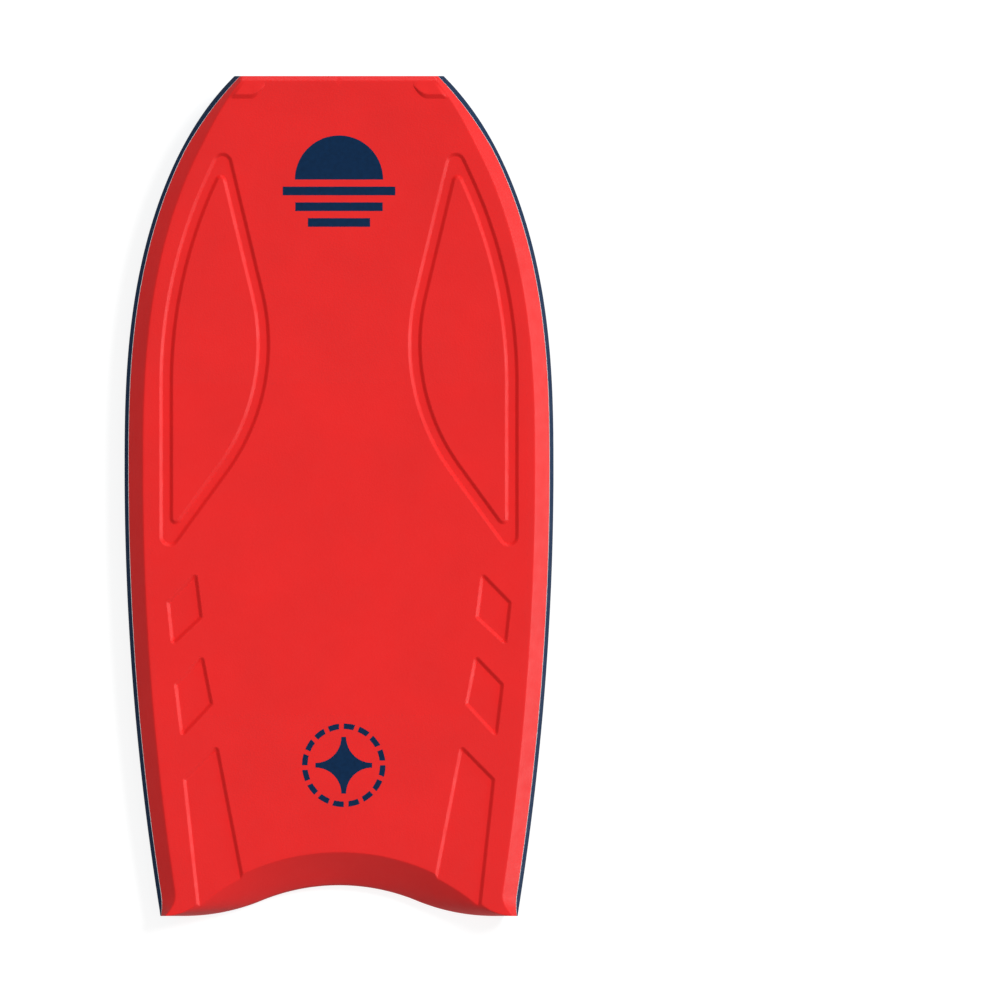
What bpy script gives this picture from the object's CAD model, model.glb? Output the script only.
"""Looks of the bodyboard: skinned foam, chined rails, a ridged plastic slick and printed film.

Shapes are worked out in millimetres, with the same formulas as the CAD, and built in metres.
+Y is the nose, +Z the deck, and the slick lies on Z = 0.
"""

import math

import bmesh
import bpy
import numpy as np
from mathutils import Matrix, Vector
from mathutils.geometry import delaunay_2d_cdt


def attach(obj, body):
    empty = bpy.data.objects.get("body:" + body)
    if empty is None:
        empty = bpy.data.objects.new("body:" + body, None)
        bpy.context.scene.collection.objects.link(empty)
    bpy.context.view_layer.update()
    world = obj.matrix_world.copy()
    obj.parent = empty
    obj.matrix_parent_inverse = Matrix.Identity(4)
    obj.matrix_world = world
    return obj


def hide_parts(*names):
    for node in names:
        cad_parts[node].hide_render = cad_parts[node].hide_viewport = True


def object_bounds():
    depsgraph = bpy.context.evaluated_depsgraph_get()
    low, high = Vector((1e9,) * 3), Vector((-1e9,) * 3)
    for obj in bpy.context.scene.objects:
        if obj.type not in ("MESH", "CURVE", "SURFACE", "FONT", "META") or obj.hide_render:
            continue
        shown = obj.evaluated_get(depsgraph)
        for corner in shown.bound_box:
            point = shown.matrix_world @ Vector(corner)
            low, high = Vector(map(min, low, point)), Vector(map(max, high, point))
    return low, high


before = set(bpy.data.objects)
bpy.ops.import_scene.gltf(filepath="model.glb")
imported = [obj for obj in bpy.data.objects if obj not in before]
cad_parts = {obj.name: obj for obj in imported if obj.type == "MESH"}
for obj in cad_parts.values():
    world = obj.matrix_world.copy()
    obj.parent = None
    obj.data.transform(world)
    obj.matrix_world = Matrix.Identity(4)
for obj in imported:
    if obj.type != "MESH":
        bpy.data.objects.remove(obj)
cad_box = [list(corner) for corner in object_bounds()]

MM = 0.001

# Plan outline
HALF_LENGTH = cad_box[1][1] / MM
HALF_WIDTH = cad_box[1][0] / MM
WIDE_POINT = 33
TAIL_NARROWING = 45.7
NOSE_NARROWING = 122.2
NOSE_POWER = 2.7
NOSE_CORNER = 17.4

# Side profile
THICKNESS = 57
ROCKER_START = 120
BOTTOM_ROCKER = 3067
DECK_ROCKER = 5037
TAIL_START = -250
TAIL_DROP = 5744
APEX_SHARE = 0.6
SEAM_HEIGHT = 39.3
SEAM_NOSE_ROCKER = 4160
SEAM_TAIL_DROP = 8553
SEAM_NOSE_LIFT = 5.9

# Rails: the upper chine narrows towards both ends
CHINE_RUN = 24
NOSE_TAPER_START = 440
NOSE_TAPER = 10
TAIL_TAPER_LENGTH = 30
TAIL_TAPER = 18
LOWER_CHINE_RUN = 17.5
SLICK_INSET = 24
RAIL_WALL = 6.5
RAIL_LIP = 2
RAIL_ROUNDING = {"seam": 0.5, "apex": 1.8, "foot": 5, "slick": 0.4}

# Ends of the long strips, drawn in slightly
END_EASE = 0.8
END_SHARE = 0.98
STATION_COUNT = 260

# Seam beads: lines of bare foam between the skins
SEAM_WIDTH = 0.8
SEAM_PROUD = 0.15
SEAM_ROUNDING = 0.3
SEAM_OVERLAP = 3
SLICK_BEAD = [(-0.6, 0.2), (-0.4, 0.03), (0.2, 0.03), (0.3, 0.2), (0, 1)]

# Skins
DECK_SKIN = 6
SLICK_SKIN = 1.2
END_SKIN = 4.5
NOSE_BEVEL = 6

# Tail: a crescent in plan, and above it a bevel whose upper edge is a deeper crescent
CRESCENT = {"depth": 39, "half_span": 197, "radius": 258.5}
BEVEL = {"depth": 81, "half_span": 225, "radius": 298}
BEVEL_FOOT = 14
BEVEL_HEAD = 53.5
BEVEL_LEVELS = (0.97, 0.92, 0.75, 0.5, 0.25)
TAIL_BEND_ROUNDING = 4
TAIL_FOOT_ROUNDING = 1.2

# Pressed contours on the right side, as (x, y) corners; the leaf's long sides bow with the two large radii
PRESS_DEPTH = 3.5
PRESS_WALL = 5
GROOVE_FLOOR = 8
LEAF = [(146.9, 436), (74.6, 135), (219.5, -64.2), (219.5, 278)]
LEAF_SIDES = {1: 270, 3: 620}
LEAF_TIP = {"outer": 13.2, "inner": 2.5}
POCKET_CORNER = 4.5
WALL_ROWS = (-0.5, 0.05, 0.6, 2.5, 4.4, 4.95, 5.5)
TAIL_POCKET_WALLS = ((104, 136), (172, 206))
POCKETS = {
    "upper": [(180.3, -94), (172.7, -155), (213.4, -193), (219.7, -134.6)],
    "middle": [(172.3, -199.4), (159.4, -264.7), (201.4, -310), (210, -238.6)],
    "tail": [(153.7, -313.7), (106, -560), (177, -560), (198.8, -359.4)],
}

# Nose bulbs
BULB_HEIGHT = 3.2
BULB_TIP = (94, 522)
BULB_FOOT_Y = 504.3
BULB_RAMP = 6.4
BULB_BEND_X = 113
BULB_FADE = 7
BULB_LAP = 0.02
BULB_ROOT = 1

# Bottom channels, on the right side
CHANNEL_TIP = (182, -156)
CHANNEL_RUN = 384
CHANNEL_DEPTH = 9
CHANNEL_REACH = 70
CHANNEL_WALL_SLOPE = 0.44
CHANNEL_TIP_ROUNDING = 0.1
CHANNEL_MARGIN = 40
CHANNEL_TIP_MARGIN = 25

# Net that shows through the slick
NET_PITCH = 19.5
NET_SLOPE = 0.2468
NET_NODE_Y = -120.3
NET_WIDTH = 1.8
NET_RELIEF = 0.14
NET_SIDE_GAP = 1.2
NET_TAIL_GAP = 0.8
STRAND_STEP = 3.0
STRAND_PROFILE = [(-1, 0), (-0.6, -0.75), (0, -1), (0.6, -0.75), (1, 0), (0, 1.5)]

# Slick plastic stretched over the channels
STRETCH = "stretch"
STRETCHED_SHADE = 0.5
EDGE_STRETCH = 0.7
EDGE_WIDTH = 0.3

# Printed emblems
FILM_LIFT = 0.12
SLICK_FILM_DROP = 0.02

# Smoothness and fineness of the meshes
CREASE_BLEND = 0.6
SMOOTH_ANGLE = 34
ARC_STEP = 3
LOOP_STEP = 4
FILL_SPACING = 8
FEATHER = 0.02


# Formulas of the board's form, all in millimetres

def arc_rise(run, radius):
    """How far an arc has risen from its tangent after a run along it."""
    run = np.maximum(run, 0)
    return radius - np.sqrt(radius ** 2 - run ** 2)


def outline(y):
    """Half the board's width at its apex."""
    tail = np.maximum(0, WIDE_POINT - y) / (HALF_LENGTH + WIDE_POINT)
    nose = np.maximum(0, y - WIDE_POINT) / (HALF_LENGTH - WIDE_POINT)
    narrowing = TAIL_NARROWING * tail ** 2 + NOSE_NARROWING * nose ** NOSE_POWER + NOSE_CORNER * nose ** 10
    return HALF_WIDTH - narrowing


def bottom_height(y):
    return arc_rise(y - ROCKER_START, BOTTOM_ROCKER)


def deck_height(y):
    return THICKNESS + arc_rise(y - ROCKER_START, DECK_ROCKER) - arc_rise(TAIL_START - y, TAIL_DROP)


def apex_height(y):
    bottom = bottom_height(y)
    return bottom + APEX_SHARE * (deck_height(y) - bottom)


def seam_height(y):
    rocker = arc_rise(y - ROCKER_START, SEAM_NOSE_ROCKER) - arc_rise(TAIL_START - y, SEAM_TAIL_DROP)
    nose = np.maximum(0, y - NOSE_TAPER_START) / (HALF_LENGTH - NOSE_TAPER_START)
    return SEAM_HEIGHT + rocker + SEAM_NOSE_LIFT * nose ** 1.2


def chine_run(y):
    """Plan width of the upper chine, from the deck's crease to the apex."""
    nose = np.maximum(0, y - NOSE_TAPER_START) / (HALF_LENGTH - NOSE_TAPER_START)
    tail = np.maximum(0, TAIL_TAPER_LENGTH - HALF_LENGTH - y) / TAIL_TAPER_LENGTH
    return CHINE_RUN - NOSE_TAPER * nose ** 1.5 - TAIL_TAPER * tail ** 2


def chine_slope(y):
    return (deck_height(y) - apex_height(y)) / chine_run(y)


def deck_crease(y):
    return outline(y) - chine_run(y)


def chine_height(x, y):
    return deck_height(y) - (np.abs(x) - deck_crease(y)) * chine_slope(y)


def seam_half_width(y):
    return outline(y) - (seam_height(y) - apex_height(y)) / chine_slope(y)


def crescent_line(depth, half_span, radius):
    """Right half of a crescent in plan: a hollow arc, a reversed arc and a straight line."""
    turn = 2 * math.atan(depth / half_span)
    peg = half_span / math.sin(turn) - radius
    share = np.linspace(0, 1, 60)
    hollow = np.column_stack([radius * np.sin(turn * share), depth - radius * (1 - np.cos(turn * share))])
    left = turn * (1 - share)
    shoulder = np.column_stack([half_span - peg * np.sin(left), peg * (1 - np.cos(left))])
    straight = np.column_stack([half_span * (1 + 0.3 * share), 0 * share])
    return np.concatenate([hollow, shoulder[1:], straight[1:]]) - (0, HALF_LENGTH)


CRESCENT_LINE = crescent_line(**CRESCENT)
BEVEL_LINE = crescent_line(**BEVEL)
BEVEL_SHARES = np.linspace(0, 1.2, 37)


def bevel_y(x, share):
    """Plan place of the tail bevel at a share of its height; rulings join its two lines point to point."""
    line = (1 - share) * CRESCENT_LINE + share * BEVEL_LINE
    return np.interp(np.abs(x), line[:, 0], line[:, 1])


def tail_y(x):
    return bevel_y(x, 0)


def bevel_height(x, y):
    x, y = np.broadcast_arrays(np.atleast_1d(np.abs(x)).astype(float), y)
    levels = np.array([bevel_y(x, share) for share in BEVEL_SHARES])
    above = np.clip(np.sum(levels <= y, 0), 1, len(BEVEL_SHARES) - 1)
    columns = np.arange(len(x))
    low, high = levels[above - 1, columns], levels[above, columns]
    step = BEVEL_SHARES[1]
    share = BEVEL_SHARES[above - 1] + (y - low) / np.maximum(high - low, 0.002) * step
    return BEVEL_FOOT + share * (BEVEL_HEAD - BEVEL_FOOT)


def nose_bevel_height(y):
    return deck_height(y) - NOSE_BEVEL + (HALF_LENGTH - y)


def blend_min(a, b):
    """The lower of two heights, with their crease rounded."""
    return (a + b - np.sqrt((a - b) ** 2 + CREASE_BLEND ** 2)) / 2


def soft_ramp(share, rounding=0.12):
    """0 to 1 as a straight wall with a small rounding at its foot and head."""
    s = np.clip(share, 0, 1)
    slope = 1 / (1 - rounding)
    foot = s ** 2 * slope / (2 * rounding)
    head = 1 - (1 - s) ** 2 * slope / (2 * rounding)
    wall = (s - rounding / 2) * slope
    return np.where(s < rounding, foot, np.where(s > 1 - rounding, head, wall))


def channel_edges(y):
    """Inner edge, peak, outer edge and depth of the right-hand channel."""
    u = np.clip((CHANNEL_TIP[1] - y) / CHANNEL_RUN, 0, 1)
    inner = CHANNEL_TIP[0] - CHANNEL_REACH * u ** 0.45
    margin = CHANNEL_MARGIN + CHANNEL_TIP_MARGIN * (1 - u) ** 1.2
    tip_round = np.sqrt(1 - np.maximum(0, 1 - u / CHANNEL_TIP_ROUNDING) ** 2)
    outer = CHANNEL_TIP[0] + tip_round * (outline(y) - margin - CHANNEL_TIP[0])
    depth = CHANNEL_DEPTH * u ** 0.8
    return inner, inner + CHANNEL_WALL_SLOPE * depth, outer, depth


def channel_height(x, y):
    inner, peak, outer, depth = channel_edges(y)
    wall = (np.abs(x) - inner) / CHANNEL_WALL_SLOPE
    roof = depth * (outer - np.abs(x)) / np.maximum(outer - peak, 1)
    return np.maximum(0, blend_min(wall, roof)) * (y < CHANNEL_TIP[1])


# Plan lines

def towards(start, end):
    return (end - start) / np.linalg.norm(end - start)


def halve_corner(before, corner, after):
    """Half of a polygon corner's angle, and the direction that halves it."""
    to_before, to_after = towards(corner, before), towards(corner, after)
    half = math.acos(np.clip(to_before @ to_after, -1, 1)) / 2
    return half, (to_before + to_after) / np.linalg.norm(to_before + to_after)


def corner_arc(before, corner, after, radius):
    """Points of the arc that rounds one corner of a polygon."""
    half, bisector = halve_corner(before, corner, after)
    centre = corner + bisector * radius / math.sin(half)
    start = corner + towards(corner, before) * radius / math.tan(half) - centre
    sweep = math.pi - 2 * half
    turn = np.sign(start[0] * -bisector[1] + start[1] * bisector[0])
    count = max(4, math.ceil(radius * sweep / ARC_STEP))
    angles = np.linspace(0, sweep * turn, count + 1)
    cos, sin = np.cos(angles), np.sin(angles)
    return centre + np.stack([cos * start[0] - sin * start[1], sin * start[0] + cos * start[1]], 1)


def divide(loop):
    """A closed plan line's points with none further apart than the step."""
    result = []
    for start, end in zip(loop, np.roll(loop, -1, 0)):
        count = max(1, math.ceil(np.linalg.norm(end - start) / LOOP_STEP))
        result.extend(start + (end - start) * np.arange(count)[:, None] / count)
    return np.array(result)


def rounded_loop(corners):
    """A closed plan line through (x, y, radius) corners."""
    places = [np.array(corner[:2], float) for corner in corners]
    arcs = []
    for index, corner in enumerate(corners):
        after = places[(index + 1) % len(places)]
        arcs.append(corner_arc(places[index - 1], places[index], after, corner[2]))
    return divide(np.concatenate(arcs))


def loop_distance(points, loop):
    """Distance of each plan point to a closed line, negative inside it."""
    along = np.roll(loop, -1, 0) - loop
    best = np.full(len(points), np.inf)
    inside = np.zeros(len(points), bool)
    for (x0, y0), (dx, dy) in zip(loop, along):
        px, py = points[:, 0] - x0, points[:, 1] - y0
        share = np.clip((px * dx + py * dy) / (dx * dx + dy * dy), 0, 1)
        best = np.minimum(best, (px - share * dx) ** 2 + (py - share * dy) ** 2)
        if dy:
            crossing = (py / dy >= 0) & (py / dy < 1) & (px < py / dy * dx)
            inside ^= crossing
    return np.where(inside, -1, 1) * np.sqrt(best)


def offset_loop(loop, distance):
    """A closed line moved out from another, without the points that its sharp corners swallow."""
    along = np.roll(loop, -1, 0) - np.roll(loop, 1, 0)
    normal = np.stack([along[:, 1], -along[:, 0]], 1)
    normal /= np.linalg.norm(normal, axis=1)[:, None]
    area = np.sum(loop[:, 0] * np.roll(loop[:, 1], -1) - np.roll(loop[:, 0], -1) * loop[:, 1])
    moved = loop + normal * distance * np.sign(area)
    return moved[np.abs(loop_distance(moved, loop)) > abs(distance) - 0.15]


def leaf_loop(distance, tip):
    """The leaf's outline moved out by a distance, its long sides kept parallel and its two tips rounded."""
    corners = []
    places = np.array(LEAF, float)
    for index, corner in enumerate(places):
        half, bisector = halve_corner(places[index - 1], corner, places[(index + 1) % len(places)])
        radius = LEAF_SIDES[index] + distance if index in LEAF_SIDES else tip
        corners.append((*(corner - bisector * distance / math.sin(half)), radius))
    return rounded_loop(corners)


LEAF_OUTER = leaf_loop(GROOVE_FLOOR / 2 + PRESS_WALL, LEAF_TIP["outer"])
LEAF_INNER = leaf_loop(-GROOVE_FLOOR / 2 - PRESS_WALL, LEAF_TIP["inner"])
POCKET_LOOPS = [rounded_loop([(x, y, POCKET_CORNER) for x, y in corners]) for corners in POCKETS.values()]


def press_depth(x, y):
    """How deep the leaf groove and the pockets are pressed at plan points."""
    points = np.stack([np.abs(x), y], -1).reshape(-1, 2)
    depth = np.zeros(len(points))
    for loop in [LEAF_OUTER] + POCKET_LOOPS:
        near = np.all((points > loop.min(0)) & (points < loop.max(0)), 1)
        if near.any():
            reach = -loop_distance(points[near], loop)
            if loop is LEAF_OUTER:
                reach = np.minimum(reach, loop_distance(points[near], LEAF_INNER))
            depth[near] = np.maximum(depth[near], PRESS_DEPTH * soft_ramp(reach / PRESS_WALL))
    return depth.reshape(np.shape(x))


def top_height(x, y):
    """The deck, its chines, its bevels and its pressed contours."""
    skin = blend_min(deck_height(y), chine_height(x, y)) - press_depth(x, y)
    return blend_min(blend_min(skin, nose_bevel_height(y)), bevel_height(x, y))


def bevel_crease(x):
    """Where the deck, pockets included, meets the tail bevel at each x, found by halving."""
    low = tail_y(x)
    high = bevel_y(x, 1) + 6
    for _ in range(40):
        middle = (low + high) / 2
        deck = np.minimum(deck_height(middle), chine_height(x, middle)) - press_depth(x, middle)
        under = bevel_height(x, middle) < deck
        low = np.where(under, middle, low)
        high = np.where(under, high, middle)
    return low


# Meshes

def mesh_object(name, vertices, faces, material):
    """An object from millimetre points, its faces turned outwards and smooth except at its sharp edges."""
    mesh = bpy.data.meshes.new(name)
    mesh.from_pydata((np.asarray(vertices) * MM).tolist(), [], [list(map(int, face)) for face in faces])
    mesh.validate()
    shape = bmesh.new()
    shape.from_mesh(mesh)
    bmesh.ops.recalc_face_normals(shape, faces=shape.faces)
    shape.to_mesh(mesh)
    shape.free()
    mesh.polygons.foreach_set("use_smooth", [True] * len(mesh.polygons))
    mesh.set_sharp_from_angle(angle=math.radians(SMOOTH_ANGLE))
    mesh.materials.append(material)
    item = bpy.data.objects.new(name, mesh)
    bpy.context.scene.collection.objects.link(item)
    return item


def fill_lattice(boundary):
    """Points of a triangular lattice over a plan boundary's box."""
    low, high = boundary.min(0), boundary.max(0)
    rows = []
    for index, y in enumerate(np.arange(low[1], high[1], FILL_SPACING * math.sqrt(3) / 2)):
        x = np.arange(low[0] + FILL_SPACING / 2 * (index % 2), high[0], FILL_SPACING)
        rows.append(np.column_stack([x, np.full(len(x), y)]))
    return np.concatenate(rows)


def triangulate(boundary, lines, clearance):
    """Triangles that fill a plan boundary, with edges along every line given.

    Fill points keep clear of the lines.
    """
    chains = [(boundary, True)] + lines
    fixed = np.concatenate([points for points, _ in chains])
    edges = []
    first = 0
    for points, closed in chains:
        count = len(points)
        last = count if closed else count - 1
        edges.extend((first + i, first + (i + 1) % count) for i in range(last))
        first += count
    cells = set()
    for x, y in np.round(fixed / clearance).astype(int):
        cells.update((x + i, y + j) for i in (-1, 0, 1) for j in (-1, 0, 1))
    lattice = fill_lattice(boundary)
    keys = np.round(lattice / clearance).astype(int)
    lattice = lattice[[tuple(key) not in cells for key in keys]]
    lattice = lattice[loop_distance(lattice, boundary) < -clearance]
    points = [Vector(point) for point in np.concatenate([fixed, lattice]).tolist()]
    found = delaunay_2d_cdt(points, edges, [list(range(len(boundary)))], 1, 1e-4)
    return np.array([tuple(point) for point in found[0]]), np.array(found[2])


def mirror_plan(points, triangles):
    """Both halves of a plan mesh whose straight edge lies on x = 0."""
    on_axis = np.abs(points[:, 0]) < 1e-3
    mirrored = points * (-1, 1)
    index = np.where(on_axis, np.arange(len(points)), -1)
    index[~on_axis] = len(points) + np.arange(np.sum(~on_axis))
    return (np.concatenate([points, mirrored[~on_axis]]),
            np.concatenate([triangles, index[triangles][:, ::-1]]))


def shell(name, plan, triangles, upper, lower, material):
    """A closed skin between two heights over one plan mesh; it has no side walls where the heights meet."""
    count = len(plan)
    vertices = np.concatenate([np.column_stack([plan, upper]), np.column_stack([plan, lower])])
    first, second = (plan[triangles[:, i]] - plan[triangles[:, 0]] for i in (1, 2))
    area = first[:, 0] * second[:, 1] - first[:, 1] * second[:, 0]
    triangles = np.where((area > 0)[:, None], triangles, triangles[:, ::-1])
    faces = triangles.tolist() + (triangles[:, ::-1] + count).tolist()
    sides = dict.fromkeys(edge for a, b, c in triangles for edge in ((a, b), (b, c), (c, a)))
    thin = np.abs(upper - lower) < FEATHER
    for a, b in sides:
        if (b, a) not in sides and not (thin[a] and thin[b]):
            faces.append([a, a + count, b + count, b])
    return mesh_object(name, vertices, faces, material)


def soft_corner(before, corner, after, radius):
    """Four points that round one corner of a section; the radius shortens where the sides are short."""
    before, corner, after = (np.array(point, float) for point in (before, corner, after))
    reach = min(radius, 0.45 * np.linalg.norm(before - corner), 0.45 * np.linalg.norm(after - corner))
    start = corner + towards(corner, before) * reach
    end = corner + towards(corner, after) * reach
    share = np.linspace(0, 1, 4)[:, None]
    return (1 - share) ** 2 * start + 2 * share * (1 - share) * corner + share ** 2 * end


def round_section(corners):
    """A closed section through (u, v, rounding) corners."""
    points = []
    for index, corner in enumerate(corners):
        before = corners[index - 1][:2]
        after = corners[(index + 1) % len(corners)][:2]
        if corner[2]:
            points.extend(soft_corner(before, corner[:2], after, corner[2]))
        else:
            points.append(np.array(corner[:2], float))
    return np.array(points)


def sweeps(name, bodies, material):
    """One object of several solids, each through closed sections with equal numbers of points."""
    vertices, faces = [], []
    for sections in bodies:
        sections = np.asarray(sections, float)
        rings, size = sections.shape[:2]
        first = len(vertices)
        vertices.extend(sections.reshape(-1, 3))
        for ring in range(rings - 1):
            for i in range(size):
                a = first + ring * size + i
                b = first + ring * size + (i + 1) % size
                faces.append([a, b, b + size, a + size])
        faces.append([first + i for i in range(size)][::-1])
        faces.append([first + (rings - 1) * size + i for i in range(size)])
    return mesh_object(name, vertices, faces, material)


# Materials

# Places of a colour mix node's factor, two colours and result among its sockets
MIX_INPUTS = (0, 6, 7)
MIX_RESULT = 2


def principled(name, **sockets):
    """A material with its own Principled shader; the sockets given are the same all over."""
    material = bpy.data.materials.new(name)
    material.use_nodes = True
    shader = material.node_tree.nodes["Principled BSDF"]
    for socket, value in sockets.items():
        shader.inputs[socket.replace("_", " ")].default_value = value
    return material, material.node_tree, shader


def node(tree, kind, links=(), **settings):
    """A shader node; links are (input, output socket) pairs, and settings are its properties."""
    made = tree.nodes.new(kind)
    for key, value in settings.items():
        setattr(made, key, value)
    for socket, source in links:
        if isinstance(source, bpy.types.NodeSocket):
            tree.links.new(source, made.inputs[socket])
        else:
            made.inputs[socket].default_value = source
    return made


def place(tree, stretch=(1, 1, 1)):
    """The object's own coordinates in metres, stretched."""
    coordinates = node(tree, "ShaderNodeTexCoord").outputs["Object"]
    mapping = node(tree, "ShaderNodeMapping", [("Vector", coordinates), ("Scale", stretch)])
    return mapping.outputs["Vector"]


def noise(tree, vector, scale, detail):
    links = [("Vector", vector), ("Scale", scale), ("Detail", detail)]
    return node(tree, "ShaderNodeTexNoise", links).outputs["Fac"]


def spread(tree, value, low, high, start=0.3, end=0.7):
    """A pattern's middle range spread between two values."""
    links = [("Value", value), ("From Min", start), ("From Max", end), ("To Min", low), ("To Max", high)]
    return node(tree, "ShaderNodeMapRange", links).outputs["Result"]


def tint(tree, factor, first, second):
    """A colour between two; each of the two is a colour or another node's output."""
    links = zip(MIX_INPUTS, (factor, first, second))
    return node(tree, "ShaderNodeMix", links, data_type="RGBA").outputs[MIX_RESULT]


def shaded(colour, factor):
    """A colour at a share of its brightness, with full alpha."""
    return *(channel * factor for channel in colour), 1


def mottled(tree, shader, pattern, colour, low, high):
    """Lets a pattern carry the base colour from a low share of its brightness to a high one."""
    colours = tint(tree, pattern, shaded(colour, low), shaded(colour, high))
    tree.links.new(colours, shader.inputs["Base Color"])


def rough(tree, shader, pattern, *limits):
    """Lets a pattern carry the roughness between two values."""
    tree.links.new(spread(tree, pattern, *limits), shader.inputs["Roughness"])


def bumped(tree, shader, height, distance, strength, under=None):
    """Raises a pattern from the surface by a distance in metres, over an earlier relief if there is one."""
    links = [("Height", height), ("Distance", distance), ("Strength", strength)]
    if under is not None:
        links.append(("Normal", under))
    normal = node(tree, "ShaderNodeBump", links).outputs["Normal"]
    tree.links.new(normal, shader.inputs["Normal"])
    return normal


def foam_skin(name, colour, roughness, specular):
    """Closed-cell foam skin: a fine pebble grain over soft mottling and slight waviness."""
    material, tree, shader = principled(name, Specular_IOR_Level=specular)
    vector = place(tree)
    mottled(tree, shader, spread(tree, noise(tree, vector, 14, 4), 0, 1), colour, 0.965, 1.03)
    rough(tree, shader, noise(tree, vector, 60, 5), *roughness)
    pebble = node(tree, "ShaderNodeTexVoronoi", [("Vector", vector), ("Scale", 450)], feature="SMOOTH_F1")
    soft = bumped(tree, shader, noise(tree, vector, 35, 2), 0.0005, 0.25)
    bumped(tree, shader, pebble.outputs["Distance"], 0.00012, 1.0, soft)
    return material


def slick_plastic(name, colour):
    """Glossy moulded sheet with a slight ripple and fine lengthwise scratches, darker where stretched."""
    shine = {"Coat_Weight": 0.2, "Coat_Roughness": 0.08, "Specular_IOR_Level": 0.3}
    material, tree, shader = principled(name, **shine)
    vector = place(tree)
    streaks = noise(tree, place(tree, (260, 9, 260)), 1, 5)
    clouds = spread(tree, noise(tree, vector, 9, 3), 0, 1)
    colours = tint(tree, clouds, shaded(colour, 0.97), shaded(colour, 1.02))
    stretch = node(tree, "ShaderNodeAttribute", attribute_name=STRETCH).outputs["Fac"]
    colours = tint(tree, stretch, colours, shaded(colour, STRETCHED_SHADE))
    tree.links.new(colours, shader.inputs["Base Color"])
    rough(tree, shader, streaks, 0.2, 0.34, 0.4, 0.75)
    ripple = bumped(tree, shader, noise(tree, vector, 30, 2), 0.0006, 0.3)
    bumped(tree, shader, streaks, 0.00003, 0.5, ripple)
    return material


def bead_foam(name, colour, bead):
    """Expanded bead foam: pressed cells with darker borders."""
    material, tree, shader = principled(name, Roughness=0.75)
    cells = node(tree, "ShaderNodeTexVoronoi", [("Vector", place(tree)), ("Scale", 1 / bead)],
                 feature="DISTANCE_TO_EDGE").outputs["Distance"]
    border = spread(tree, cells, 0, 1, 0.0, 0.12)
    mottled(tree, shader, border, colour, 0.72, 1)
    bumped(tree, shader, border, 0.0003, 0.5)
    return material


def printed_film(name, colour):
    """Matt screen print whose ink lies unevenly on the skin."""
    material, tree, shader = principled(name, Specular_IOR_Level=0.1)
    ink = noise(tree, place(tree), 220, 4)
    mottled(tree, shader, spread(tree, ink, 0, 1), colour, 0.9, 1.15)
    rough(tree, shader, ink, 0.4, 0.55)
    bumped(tree, shader, ink, 0.00004, 0.4)
    return material


def composite(name, colour):
    """Wound fibre tube: fine threads round the stringer under clear resin."""
    material, tree, shader = principled(name, Roughness=0.3, Coat_Weight=0.5, Coat_Roughness=0.12)
    wave = node(tree, "ShaderNodeTexWave", [("Vector", place(tree)), ("Scale", 180), ("Distortion", 1.5)],
                bands_direction="DIAGONAL").outputs["Fac"]
    mottled(tree, shader, wave, colour, 0.6, 1.5)
    bumped(tree, shader, wave, 0.00005, 0.5)
    return material


def moulded_plastic(name, colour):
    """Hard black plastic with a fine moulded grain."""
    material, tree, shader = principled(name)
    grain = noise(tree, place(tree), 700, 3)
    mottled(tree, shader, grain, colour, 0.9, 1.1)
    rough(tree, shader, grain, 0.35, 0.5)
    bumped(tree, shader, grain, 0.00003, 0.5)
    return material


RED = (0.66, 0.0045, 0.004)
NAVY = (0.0022, 0.018, 0.056)
BLUE = (0.008, 0.36, 0.63)
NET_BLUE = (0.007, 0.262, 0.455)
BARE_FOAM = (0.5, 0.52, 0.55)
CORE_FOAM = (0.62, 0.6, 0.55)
TUBE_BLACK = (0.03, 0.03, 0.03)
PLUG_BLACK = (0.02, 0.02, 0.022)
BARE_BEAD = 0.0012
CORE_BEAD = 0.004

red_foam = foam_skin("red_foam", RED, roughness=(0.52, 0.6), specular=0.5)
navy_foam = foam_skin("navy_foam", NAVY, roughness=(0.55, 0.68), specular=0.25)
slick_blue = slick_plastic("slick_plastic", BLUE)
net_blue = slick_plastic("net_strand", NET_BLUE)
seam_foam = bead_foam("white_foam", BARE_FOAM, BARE_BEAD)
core_foam = bead_foam("core_foam", CORE_FOAM, CORE_BEAD)
navy_film = printed_film("navy_film", NAVY)
tube_composite = composite("stringer_composite", TUBE_BLACK)
plug_plastic = moulded_plastic("plug_plastic", PLUG_BLACK)


def finish_piece(item, slot, *nodes):
    """Ties a piece to the board's body, its material slot and the CAD nodes it stands for."""
    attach(item, "root")
    if nodes:
        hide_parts(*nodes)
    return item


# Pieces

def inner_runs(points, inside):
    """The runs of a line's points that lie inside, as open lines of two points or more."""
    runs, run = [], []
    for point, keep in zip(points, inside):
        if keep:
            run.append(point)
        elif run:
            runs.append(run)
            run = []
    runs.append(run)
    return [(np.array(run), False) for run in runs if len(run) > 1]


def close(loop):
    return np.concatenate([loop, loop[:1]])


def crease_stations():
    """Where the tail crease is sampled: closely where the tail pockets' walls cross it."""
    corner = deck_crease(-HALF_LENGTH)
    walls = [np.arange(*side) for side in TAIL_POCKET_WALLS]
    return np.unique(np.concatenate([np.arange(0, corner, 3), *walls, [corner]]))


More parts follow.
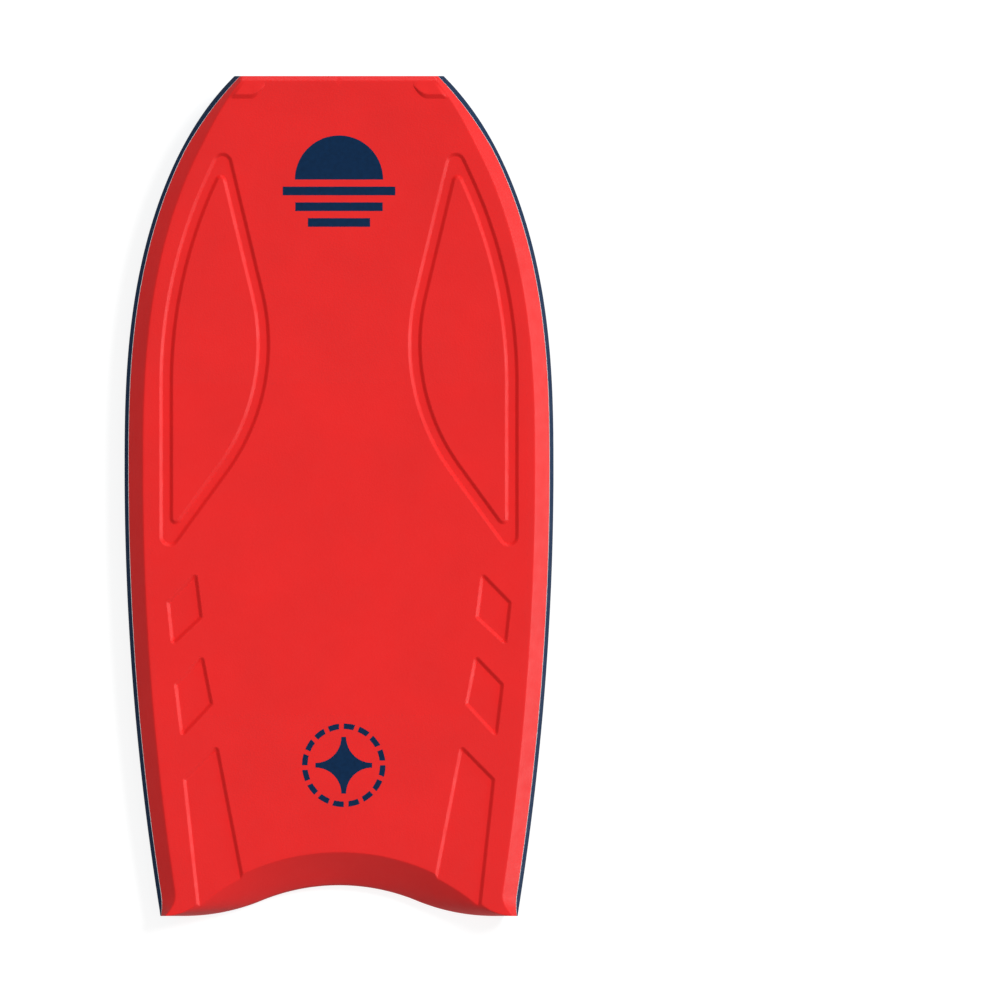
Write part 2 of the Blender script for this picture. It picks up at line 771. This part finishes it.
def deck_lines():
    """Plan lines of the deck skin's right half: its creases and the edges of its contours."""
    y = np.arange(-HALF_LENGTH + 1.5, HALF_LENGTH - 0.5, 5)
    lines = [np.column_stack([deck_crease(y) + shift, y]) for shift in (-2.4, -0.8, 0, 0.8, 2.4)]
    lines += [np.column_stack([seam_half_width(y) - inset, y]) for inset in (0.8, 2.5)]
    across = np.arange(0, HALF_WIDTH, 5)
    nose = np.full(len(across), HALF_LENGTH - NOSE_BEVEL)
    lines += [np.column_stack([across, nose + shift]) for shift in (-1.8, -0.7, 0, 0.7, 1.8)]
    stations = crease_stations()
    crease = bevel_crease(stations)
    lines += [np.column_stack([stations, crease + shift]) for shift in (0.7, 1.5, 2.6, 4.2)]
    lines += [close(offset_loop(LEAF_INNER, rise)) for rise in WALL_ROWS]
    for loop in [LEAF_OUTER] + POCKET_LOOPS:
        lines += [close(offset_loop(loop, -rise)) for rise in WALL_ROWS]
    return lines


def build_deck():
    stations = crease_stations()
    lengthwise = np.append(np.arange(-HALF_LENGTH, HALF_LENGTH, 5), HALF_LENGTH)
    tail = np.column_stack([stations, bevel_crease(stations)])
    side = np.column_stack([seam_half_width(lengthwise), lengthwise])
    centre = np.column_stack([np.zeros(150), np.linspace(HALF_LENGTH, tail[0, 1], 150)])
    boundary = np.concatenate([tail, side, centre[:-1]])
    lines = []
    for line in deck_lines():
        inside = (loop_distance(line, boundary) < -0.5) & (line[:, 0] > 0)
        lines += inner_runs(line, inside)
    plan, triangles = triangulate(boundary, lines, clearance=2.2)
    plan, triangles = mirror_plan(plan, triangles)
    x, y = plan.T
    upper = top_height(x, y)
    slope = chine_slope(y)
    under_chine = chine_height(x, y) - DECK_SKIN * np.sqrt(1 + slope ** 2)
    lower = np.maximum(np.minimum(deck_height(y) - DECK_SKIN, under_chine), seam_height(y))
    upper = np.maximum(upper, lower)
    deck = shell("deck_skin_panel", plan, triangles, upper, lower, red_foam)
    finish_piece(deck, "red_foam", "deck_skin")


def rail_inside(x):
    """Height at the tail of the rail's inner face, over which the tail skin ends."""
    edge = float(outline(-HALF_LENGTH))
    share = (abs(x) - edge + SLICK_INSET) / (SLICK_INSET - RAIL_WALL - RAIL_LIP)
    rise = END_SKIN + share * (float(apex_height(-HALF_LENGTH)) - RAIL_LIP - END_SKIN)
    return rise if share > 0 else 0


def tail_section(x, crease, foot):
    """The tail skin at one station, as (y, z) corners with roundings."""
    top = float(top_height(x, crease)[0])
    head = (top - BEVEL_FOOT) / (BEVEL_HEAD - BEVEL_FOOT)
    levels = [float(bevel_y(x, head * share)) for share in BEVEL_LEVELS]
    bevel = [(y, float(top_height(x, y)[0]), 0) for y in levels]
    notch = max(float(channel_height(x, foot)), rail_inside(x))
    inner = foot + END_SKIN
    bend = max(BEVEL_FOOT, notch + 2)
    return round_section([
        (crease, top, 0), *bevel, (foot, bend, TAIL_BEND_ROUNDING), (foot, notch, TAIL_FOOT_ROUNDING),
        (inner, notch, 0), (inner, bend, 0), (max(crease, inner), top - DECK_SKIN, 0)])


def build_tail():
    half = float(outline(-HALF_LENGTH))
    edge = half - RAIL_WALL - RAIL_LIP
    slick_edge = half - SLICK_INSET
    walls = [np.arange(*side, 1.5) for side in TAIL_POCKET_WALLS]
    right = np.unique(np.concatenate([np.arange(0, edge, 3), *walls, [slick_edge, slick_edge + 0.1, edge]]))
    stations = np.concatenate([-right[:0:-1], right])
    creases = bevel_crease(np.abs(stations))
    sections = []
    for x, crease, foot in zip(stations, creases, tail_y(stations)):
        section = tail_section(x, max(crease, foot + 0.05), foot)
        sections.append([(x, y, z) for y, z in section])
    tail = sweeps("tail_skin_panel", [sections], red_foam)
    finish_piece(tail, "red_foam", "tail_skin")


def end_eased(section, share):
    """A section drawn in slightly, for the eased edge of an end."""
    centre = section.mean(0)
    return centre + (section - centre) * share


def inner_stations(ease):
    """Stations along the board that stop short of its ends."""
    return np.linspace(-HALF_LENGTH + ease, HALF_LENGTH - ease, STATION_COUNT)


def rail_section(y):
    """The rail at one station, as (x, z) corners with roundings."""
    half, apex, seam, bottom = (float(form(y)) for form in (outline, apex_height, seam_height, bottom_height))
    shoulder = float(seam_half_width(y))
    seam -= SEAM_WIDTH / 2
    hidden = half - RAIL_WALL - RAIL_LIP
    slick_edge = half - SLICK_INSET
    return round_section([
        (shoulder + 0.3, seam, RAIL_ROUNDING["seam"]),
        (half, apex, RAIL_ROUNDING["apex"]),
        (half - LOWER_CHINE_RUN, bottom, RAIL_ROUNDING["foot"]),
        (slick_edge, bottom, RAIL_ROUNDING["slick"]),
        (slick_edge, bottom + END_SKIN, 0),
        (hidden, apex - RAIL_LIP, 0),
        (min(shoulder - RAIL_WALL, hidden), seam, 0)])


def build_rail(name, sign, node_name):
    sections = []
    for y in [-HALF_LENGTH, *inner_stations(END_EASE), HALF_LENGTH]:
        section = end_eased(rail_section(y), END_SHARE if abs(y) == HALF_LENGTH else 1)
        sections.append([(sign * x, y, z) for x, z in section])
    rail = sweeps(name, [sections], navy_foam)
    finish_piece(rail, "navy_foam", node_name)


def build_deck_seam(name, sign):
    """A thin line of bare foam edge between the deck skin and the rail."""
    half = SEAM_WIDTH / 2
    sections = []
    for y in inner_stations(END_EASE):
        x, z = float(seam_half_width(y)), float(seam_height(y))
        front, back = x + SEAM_PROUD, x - SEAM_OVERLAP
        corners = [(front, z + half, SEAM_ROUNDING), (front, z - half, SEAM_ROUNDING),
                   (back, z - half, 0), (back, z + half, 0)]
        sections.append([(sign * u, y, v) for u, v in round_section(corners)])
    finish_piece(sweeps(name, [sections], seam_foam), "white_foam")


def build_slick_seam(name, sign):
    """A thin line of bare foam edge between the slick and the rail."""
    sections = []
    for y in inner_stations(END_SKIN + 0.5):
        x, z = float(outline(y)) - SLICK_INSET, float(bottom_height(y))
        sections.append([(sign * (x + u), y, z + v) for u, v in SLICK_BEAD])
    finish_piece(sweeps(name, [sections], seam_foam), "white_foam")


def build_nose():
    """The strip that closes the nose, between the deck skin, the rails and the slick."""
    half = float(outline(HALF_LENGTH))
    base = float(bottom_height(HALF_LENGTH))
    right = [
        (float(deck_crease(HALF_LENGTH)) + 3, float(deck_height(HALF_LENGTH)) - NOSE_BEVEL),
        (float(seam_half_width(HALF_LENGTH)) - 2, float(seam_height(HALF_LENGTH))),
        (half - RAIL_WALL - 1, float(apex_height(HALF_LENGTH)) - 3),
        (half - SLICK_INSET, base)]
    section = round_section([(x, z, 1) for x, z in right] + [(-x, z, 1) for x, z in right[::-1]])
    sections = []
    for y, share in ((HALF_LENGTH - END_SKIN, 1), (HALF_LENGTH - 0.6, 1), (HALF_LENGTH - 0.12, 0.996)):
        lift = float(bottom_height(y)) - base
        sections.append([(x, y, z + lift) for x, z in end_eased(section, share)])
    finish_piece(sweeps("nose_strip", [sections], red_foam), "red_foam", "nose_cap")


def bulb_lines():
    """Foot and head of the bulb's ramp in plan, from its tip to the chine."""
    x = np.linspace(BULB_TIP[0] + 0.3, float(deck_crease(BULB_FOOT_Y)), 40)
    bend = np.clip((BULB_BEND_X - x) / (BULB_BEND_X - BULB_TIP[0]), 0, 1)
    foot = BULB_FOOT_Y + (BULB_TIP[1] - BULB_FOOT_Y) * bend ** 2.2
    head = BULB_FOOT_Y + BULB_RAMP + (BULB_TIP[1] - BULB_FOOT_Y - BULB_RAMP) * bend ** 1.7
    return x, foot, head


def bulb_rise(x, y):
    """Height of the right-hand nose bulb over the deck."""
    stations, foot, head = bulb_lines()
    low, high = np.interp(x, stations, foot), np.interp(x, stations, head)
    top = BULB_HEIGHT * (high - low) / BULB_RAMP
    ramp = soft_ramp((y - low) / np.maximum(high - low, 0.1))
    nose_edge = HALF_LENGTH - NOSE_BEVEL
    fall = np.clip((nose_edge - y) / (nose_edge - high), 0, 1)
    side = soft_ramp((deck_crease(y) - x) / BULB_FADE, 0.4)
    return top * ramp * fall * side


def build_bulb(name, sign, node_name):
    stations, foot, head = bulb_lines()
    shares = np.concatenate([np.linspace(0, 1, 13), np.linspace(1, 2, 12)[1:]])
    nose_edge = HALF_LENGTH - NOSE_BEVEL
    tip, reach = stations[0], stations[-1] - stations[0]
    plan, rows = [], []
    for x, low, high in zip(stations, foot, head):
        for share in shares:
            y = low + (high - low) * share if share <= 1 else high + (nose_edge - high) * (share - 1)
            squeeze = min(1, (float(deck_crease(y)) - tip) / reach)
            plan.append((tip + (x - tip) * squeeze, y))
    plan = np.array(plan)
    size = len(shares)
    for i in range(len(stations) - 1):
        for j in range(size - 1):
            a = i * size + j
            rows += [(a, a + size, a + size + 1), (a, a + size + 1, a + 1)]
    x, y = plan.T
    rise = bulb_rise(x, y)
    upper = top_height(x, y) + rise - BULB_LAP
    bulb = shell(name, plan * (sign, 1), np.array(rows), upper, upper - rise - BULB_ROOT, red_foam)
    finish_piece(bulb, "red_foam", node_name)


def slick_lines():
    """Plan lines of the slick's right half: its rolled edge and the walls of its channel."""
    lengthwise = np.arange(-HALF_LENGTH, HALF_LENGTH, 5)
    lines = [np.column_stack([outline(lengthwise) - SLICK_INSET - inset, lengthwise]) for inset in (0.8, 2)]
    tip = CHANNEL_TIP[1]
    y = np.concatenate([tip - np.geomspace(0.5, 30, 14), np.arange(tip - 34, -HALF_LENGTH, -4)])
    inner, peak, outer, _ = channel_edges(y)
    for x in (inner - 0.6, inner + 0.5, (inner + peak) / 2, peak - 0.5, peak + 0.8, peak + 3,
              outer - 1.3, outer, outer + 1.3):
        lines.append(np.column_stack([x, y]))
    return lines


def slick_underside(x, y):
    return bottom_height(y) + channel_height(x, y) + NET_RELIEF


def mark_stretch(item):
    """Stores how far the press stretched the slick: by the channels' depth, and along their outer edges."""
    points = np.empty(len(item.data.vertices) * 3)
    item.data.vertices.foreach_get("co", points)
    x, y, _ = points.reshape(-1, 3).T / MM
    edge = (np.abs(np.abs(x) - channel_edges(y)[2]) < EDGE_WIDTH) & (y < CHANNEL_TIP[1])
    pressed = np.clip(channel_height(x, y) / CHANNEL_DEPTH, 0, 1)
    stretch = np.maximum(pressed ** 0.6, EDGE_STRETCH * edge)
    item.data.attributes.new(STRETCH, "FLOAT", "POINT").data.foreach_set("value", stretch)


def build_slick():
    nose = HALF_LENGTH - END_SKIN
    stations = np.append(np.arange(0, outline(-nose) - SLICK_INSET - 1, 4), outline(-nose) - SLICK_INSET)
    lengthwise = np.append(np.arange(-nose + 4, nose, 5), nose)
    tail = np.column_stack([stations, tail_y(stations) + END_SKIN])
    side = np.column_stack([outline(lengthwise) - SLICK_INSET, lengthwise])
    centre = np.column_stack([np.zeros(120), np.linspace(nose, tail[0, 1], 120)])
    boundary = np.concatenate([tail, side, centre[:-1]])
    lines = []
    for line in slick_lines():
        lines += inner_runs(line, (loop_distance(line, boundary) < -0.4) & (line[:, 0] > 0))
    plan, triangles = triangulate(boundary, lines, clearance=2)
    plan, triangles = mirror_plan(plan, triangles)
    x, y = plan.T
    lower = slick_underside(x, y)
    slick = shell("slick_panel", plan, triangles, lower + SLICK_SKIN, lower, slick_blue)
    mark_stretch(slick)
    finish_piece(slick, "slick_plastic", "slick_sheet")


def strand(offset, slope):
    """One rounded strand of the net, just proud of the slick, or nothing where it misses the board."""
    y = np.arange(-HALF_LENGTH + END_SKIN, HALF_LENGTH - END_SKIN, STRAND_STEP)
    x = offset + slope * (y - NET_NODE_Y)
    within_sides = np.abs(x) < outline(y) - SLICK_INSET - NET_SIDE_GAP
    inside = within_sides & (y > tail_y(x) + END_SKIN + NET_TAIL_GAP)
    if inside.sum() < 3:
        return []
    half = NET_WIDTH / 2 * math.sqrt(1 + slope ** 2)
    sections = []
    for px, py in zip(x[inside], y[inside]):
        across = np.array([px + half * u for u, _ in STRAND_PROFILE])
        surface = slick_underside(across, np.full(len(across), py))
        heights = surface + NET_RELIEF * np.array([v for _, v in STRAND_PROFILE])
        sections.append([(u, py, z) for u, z in zip(across, heights)])
    return sections


def build_net(name, slope, node_name):
    reach = math.ceil((HALF_WIDTH + NET_SLOPE * 2 * HALF_LENGTH) / NET_PITCH)
    strands = [strand(NET_PITCH * k, slope) for k in range(-reach, reach + 1)]
    net = sweeps(name, [sections for sections in strands if sections], net_blue)
    mark_stretch(net)
    finish_piece(net, "net_strand", node_name)


def build_film(name, node_name, lift):
    """The printed film of an emblem, standing just proud of the skin."""
    film = bpy.data.objects.new(name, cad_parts[node_name].data.copy())
    bpy.context.scene.collection.objects.link(film)
    for vertex in film.data.vertices:
        vertex.co.z += lift * MM
    film.data.materials.clear()
    film.data.materials.append(navy_film)
    finish_piece(film, "navy_film", node_name)


def finish_inner_nodes():
    """Procedural materials for the pieces inside the board, whose CAD shapes stay."""
    finishes = {
        "core_block": core_foam, "bore_filler": core_foam, "bottom_foam": seam_foam,
        "stringer_tube": tube_composite, "stringer_cap_nose": plug_plastic, "stringer_cap_tail": plug_plastic,
    }
    for name, material in finishes.items():
        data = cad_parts[name].data
        data.materials.clear()
        data.materials.append(material)


# Stage

VIEW_WIDTH = 1.2715
VIEW_CENTRE = (0.2051, -0.0057)
CAMERA_HEIGHT = 2.5
FILL_LIGHT = 0.34
FLOOR_GREY = (0.2, 0.2, 0.2)
FLOOR_GLOW = 0.35
FLOOR_GLOW_SEEN = 0.85
FLOOR_REACH = 12
FLOOR_GAP = 0.0006


def build_camera():
    camera = bpy.data.objects.new("camera", bpy.data.cameras.new("camera"))
    camera.data.type = "ORTHO"
    camera.data.ortho_scale = VIEW_WIDTH
    camera.location = (*VIEW_CENTRE, CAMERA_HEIGHT)
    bpy.context.scene.collection.objects.link(camera)
    bpy.context.scene.camera = camera


def build_sun(name, strength, azimuth, elevation, softness, glossy=True, diffuse=True):
    """A soft distant light; azimuth runs from +X towards +Y."""
    data = bpy.data.lights.new(name, "SUN")
    data.energy = strength
    data.angle = math.radians(softness)
    light = bpy.data.objects.new(name, data)
    turn, rise = math.radians(azimuth), math.radians(elevation)
    source = Vector((math.cos(rise) * math.cos(turn), math.cos(rise) * math.sin(turn), math.sin(rise)))
    light.rotation_euler = source.to_track_quat("Z", "Y").to_euler()
    light.visible_glossy = glossy
    light.visible_diffuse = diffuse
    bpy.context.scene.collection.objects.link(light)


def build_world():
    world = bpy.data.worlds.new("studio")
    world.use_nodes = True
    tree = world.node_tree
    shown = node(tree, "ShaderNodeLightPath").outputs["Is Camera Ray"]
    strength = node(tree, "ShaderNodeMapRange", [("Value", shown), ("To Min", FILL_LIGHT), ("To Max", 1.0)])
    tree.nodes["Background"].inputs["Color"].default_value = (1, 1, 1, 1)
    tree.links.new(strength.outputs["Result"], tree.nodes["Background"].inputs["Strength"])
    bpy.context.scene.world = world


def build_floor():
    """A pale glowing table; from below it lets the underside of the board be seen."""
    material = bpy.data.materials.new("studio_floor")
    material.use_nodes = True
    tree = material.node_tree
    shader = tree.nodes["Principled BSDF"]
    shader.inputs["Base Color"].default_value = (*FLOOR_GREY, 1)
    shader.inputs["Roughness"].default_value = 0.9
    shader.inputs["Specular IOR Level"].default_value = 0
    shader.inputs["Emission Color"].default_value = (1, 1, 1, 1)
    light_path = node(tree, "ShaderNodeLightPath").outputs
    glow = node(tree, "ShaderNodeMapRange", [
        ("Value", light_path["Is Camera Ray"]), ("To Min", FLOOR_GLOW), ("To Max", FLOOR_GLOW_SEEN)])
    tree.links.new(glow.outputs["Result"], shader.inputs["Emission Strength"])
    below = node(tree, "ShaderNodeNewGeometry").outputs["Backfacing"]
    open_to = node(tree, "ShaderNodeMath", [(0, below), (1, light_path["Is Shadow Ray"])],
                   operation="MAXIMUM").outputs["Value"]
    clear = node(tree, "ShaderNodeBsdfTransparent").outputs["BSDF"]
    surface = node(tree, "ShaderNodeMixShader", [(0, open_to), (1, shader.outputs["BSDF"]), (2, clear)])
    tree.links.new(surface.outputs["Shader"], tree.nodes["Material Output"].inputs["Surface"])
    mesh = bpy.data.meshes.new("floor")
    level = cad_box[0][2] - FLOOR_GAP
    corners = [(x * FLOOR_REACH, y * FLOOR_REACH, level) for x, y in ((-1, -1), (1, -1), (1, 1), (-1, 1))]
    mesh.from_pydata(corners, [], [(0, 1, 2, 3)])
    mesh.materials.append(material)
    floor = bpy.data.objects.new("floor", mesh)
    bpy.context.scene.collection.objects.link(floor)


build_deck()
build_tail()
build_nose()
for side, sign in (("left", -1), ("right", 1)):
    build_rail(f"rail_{side}", sign, f"lower_rail_{side}")
    build_deck_seam(f"deck_seam_{side}", sign)
    build_bulb(f"bulb_{side}", sign, f"nose_bulb_{side}")
    build_slick_seam(f"slick_seam_{side}", sign)
build_slick()
build_net("net_strands_a", NET_SLOPE, "mesh_strands_a")
build_net("net_strands_b", -NET_SLOPE, "mesh_strands_b")
build_film("deck_badge", "deck_emblem", FILM_LIFT)
build_film("tail_badge", "tail_emblem", FILM_LIFT)
build_film("slick_badge", "slick_emblem", -SLICK_FILM_DROP)
finish_inner_nodes()

build_camera()
build_world()
build_sun("top_light", strength=0.5, azimuth=0, elevation=90, softness=60, glossy=False)
build_sun("key_light", strength=3.25, azimuth=36, elevation=46, softness=20, glossy=False)
build_sun("right_sheen", strength=1.6, azimuth=-4, elevation=17, softness=25, diffuse=False)
build_sun("nose_sheen", strength=1.2, azimuth=70, elevation=6, softness=25, diffuse=False)
build_sun("under_light", strength=2.9, azimuth=200, elevation=-76, softness=50, glossy=False)
build_floor()
bpy.context.scene.view_settings.view_transform = "Standard"
